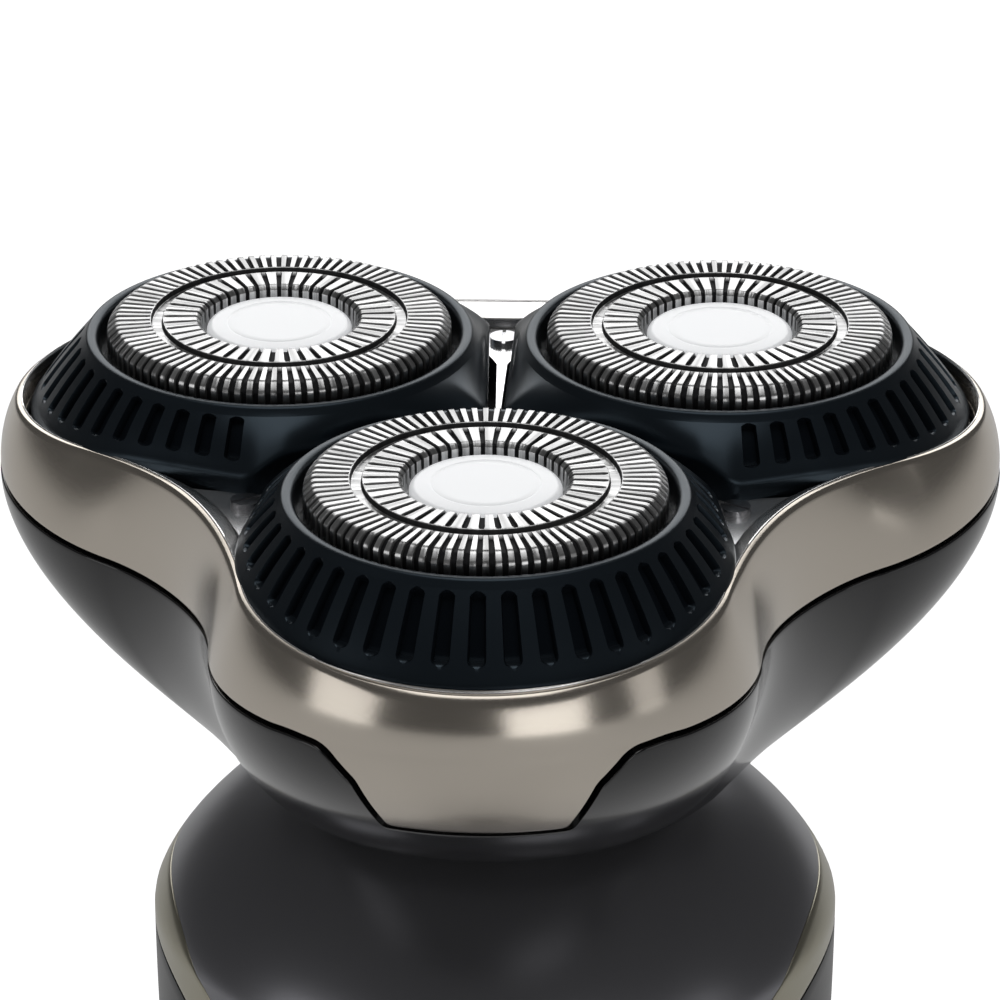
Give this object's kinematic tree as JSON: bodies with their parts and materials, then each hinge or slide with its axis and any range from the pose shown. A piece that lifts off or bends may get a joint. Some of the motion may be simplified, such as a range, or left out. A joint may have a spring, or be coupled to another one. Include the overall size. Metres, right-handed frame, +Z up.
{
  "type": "electric shaver",
  "caption": "Rotary shaver: floating cutting rings on a three-lobed head that flips open and pulls off a rounded upright handle with a front button.",
  "frame": {"origin": "centre of the flat base that the shaver stands on, on the handle's and the head's common axis", "axes": "+Z up along the handle, front with the button and the finger tab towards -Y, +X to the right seen from the front"},
  "size_m": [0.0688, 0.0669, 0.158],
  "materials": {
    "shell_black": "fine satin moulding",
    "panel_gunmetal": "glossy lacquer",
    "trim_bronze": "satin metallic lacquer",
    "bowl_gloss": "gloss",
    "band_champagne": "satin champagne metallic",
    "chrome_trim": "polished",
    "petal_rubber": "soft satin",
    "foil_steel": "fine ground",
    "cap_white": "pearl satin",
    "blade_steel": "ground",
    "carrier_plastic": "moulded",
    "gear_plastic": "moulded",
    "inner_plastic": "moulded",
    "seal_rubber": "moulded",
    "screw_steel": "turned",
    "motor_steel": "plated",
    "shaft_steel": "ground",
    "winding_copper": "enamelled",
    "battery_wrap": "shrink sleeve",
    "contact_brass": "stamped",
    "board_green": "solder mask",
    "display_black": "tinted gloss",
    "socket_steel": "plated",
    "lead_red": "insulation"
  },
  "bodies": {
    "handle": {"rear_shell": "shell_black", "front_panel": "panel_gunmetal", "trim_frame": "trim_bronze", "base_cap": "shell_black", "neck_collar": "inner_plastic", "neck_seal": "seal_rubber", "chassis": "inner_plastic", "motor_can": "motor_steel", "motor_end_cap": "inner_plastic", "motor_plate": "motor_steel", "battery_cell": "battery_wrap", "battery_contacts": "contact_brass", "circuit_board": "board_green", "display_board": "board_green", "display_window": "display_black", "button_bezel": "chrome_trim", "button_switch": "inner_plastic", "charge_socket": "socket_steel", "socket_tongue": "inner_plastic", "handle_screws": "screw_steel", "motor_leads": "lead_red"},
    "motor_rotor": {"motor_armature": "winding_copper", "motor_shaft": "shaft_steel", "drive_coupler": "gear_plastic"},
    "power_button": {"button_cap": "panel_gunmetal"},
    "head_base": {"head_bowl": "bowl_gloss", "hinge_block": "bowl_gloss", "gear_plate": "inner_plastic", "gear_cover": "inner_plastic", "post_seals": "seal_rubber", "latch_catch": "screw_steel", "hinge_pin": "shaft_steel", "plate_screws": "screw_steel"},
    "input_gear": {"central_gear": "gear_plastic"},
    "head_frame": {"head_band": "band_champagne", "band_lip": "chrome_trim", "head_deck": "chrome_trim", "deck_screws": "screw_steel"},
    "drive_1": {"drive_gear_1": "gear_plastic"},
    "floating_head_1": {"petal_1": "petal_rubber", "retainer_1": "inner_plastic"},
    "guard_1": {"foil_1": "foil_steel", "foil_cap_1": "cap_white"},
    "blades_1": {"cutter_1": "blade_steel", "cutter_carrier_1": "carrier_plastic"},
    "drive_2": {"drive_gear_2": "gear_plastic"},
    "floating_head_2": {"petal_2": "petal_rubber", "retainer_2": "inner_plastic"},
    "guard_2": {"foil_2": "foil_steel", "foil_cap_2": "cap_white"},
    "blades_2": {"cutter_2": "blade_steel", "cutter_carrier_2": "carrier_plastic"},
    "drive_3": {"drive_gear_3": "gear_plastic"},
    "floating_head_3": {"petal_3": "petal_rubber", "retainer_3": "inner_plastic"},
    "guard_3": {"foil_3": "foil_steel", "foil_cap_3": "cap_white"},
    "blades_3": {"cutter_3": "blade_steel", "cutter_carrier_3": "carrier_plastic"}
  },
  "joints": [
    {"name": "motor_spin", "type": "hinge", "parent": "handle", "child": "motor_rotor", "pos_m": [0, 0, 0.11], "axis": [0, 0, 1], "continuous": true},
    {"name": "button_press", "type": "slide", "parent": "handle", "child": "power_button", "axis": [0, 1, 0], "range_m": [0, 0.0008], "stiffness_N_per_m": 600, "springref_m": -0.001},
    {"name": "head_pull_off", "type": "slide", "parent": "handle", "child": "head_base", "axis": [0, 0, 1], "range_m": [0, 0.025]},
    {"name": "head_open", "type": "hinge", "parent": "head_base", "child": "head_frame", "pos_m": [0, 0.0281, 0.14562], "axis": [-1, 0, 0], "range_deg": [0, 100]},
    {"name": "input_gear_spin", "type": "hinge", "parent": "head_base", "child": "input_gear", "pos_m": [0, 0, 0.138], "axis": [0, 0, 1], "continuous": true},
    {"name": "drive_1_spin", "type": "hinge", "parent": "head_base", "child": "drive_1", "pos_m": [0, -0.01733, 0.14], "axis": [0, 0, 1], "continuous": true},
    {"name": "head_1_tilt", "type": "hinge", "parent": "head_frame", "child": "floating_head_1", "pos_m": [0, -0.01733, 0.14975], "axis": [1, 0, 0], "range_deg": [-2, 3], "stiffness_Nm_per_rad": 0.12},
    {"name": "guard_1_sink", "type": "slide", "parent": "floating_head_1", "child": "guard_1", "axis": [0, 0, -1], "range_m": [0, 0.001], "stiffness_N_per_m": 350, "springref_m": -0.002},
    {"name": "blades_1_spin", "type": "hinge", "parent": "guard_1", "child": "blades_1", "pos_m": [0, -0.01733, 0.154], "axis": [0, 0, 1], "continuous": true},
    {"name": "drive_2_spin", "type": "hinge", "parent": "head_base", "child": "drive_2", "pos_m": [0.01501, 0.00867, 0.14], "axis": [0, 0, 1], "continuous": true},
    {"name": "head_2_tilt", "type": "hinge", "parent": "head_frame", "child": "floating_head_2", "pos_m": [0.01501, 0.00867, 0.14975], "axis": [-0.5, 0.866, 0], "range_deg": [-2, 3], "stiffness_Nm_per_rad": 0.12},
    {"name": "guard_2_sink", "type": "slide", "parent": "floating_head_2", "child": "guard_2", "axis": [0, 0, -1], "range_m": [0, 0.001], "stiffness_N_per_m": 350, "springref_m": -0.002},
    {"name": "blades_2_spin", "type": "hinge", "parent": "guard_2", "child": "blades_2", "pos_m": [0.01501, 0.00867, 0.154], "axis": [0, 0, 1], "continuous": true},
    {"name": "drive_3_spin", "type": "hinge", "parent": "head_base", "child": "drive_3", "pos_m": [-0.01501, 0.00867, 0.14], "axis": [0, 0, 1], "continuous": true},
    {"name": "head_3_tilt", "type": "hinge", "parent": "head_frame", "child": "floating_head_3", "pos_m": [-0.01501, 0.00867, 0.14975], "axis": [-0.5, -0.866, 0], "range_deg": [-2, 3], "stiffness_Nm_per_rad": 0.12},
    {"name": "guard_3_sink", "type": "slide", "parent": "floating_head_3", "child": "guard_3", "axis": [0, 0, -1], "range_m": [0, 0.001], "stiffness_N_per_m": 350, "springref_m": -0.002},
    {"name": "blades_3_spin", "type": "hinge", "parent": "guard_3", "child": "blades_3", "pos_m": [-0.01501, 0.00867, 0.154], "axis": [0, 0, 1], "continuous": true}
  ],
  "couplings": [
    {"joint": "input_gear_spin", "follows": "motor_spin", "ratio": 1},
    {"joint": "drive_1_spin", "follows": "motor_spin", "ratio": -1.2},
    {"joint": "blades_1_spin", "follows": "motor_spin", "ratio": -1.2},
    {"joint": "drive_2_spin", "follows": "motor_spin", "ratio": -1.2},
    {"joint": "blades_2_spin", "follows": "motor_spin", "ratio": -1.2},
    {"joint": "drive_3_spin", "follows": "motor_spin", "ratio": -1.2},
    {"joint": "blades_3_spin", "follows": "motor_spin", "ratio": -1.2}
  ]
}
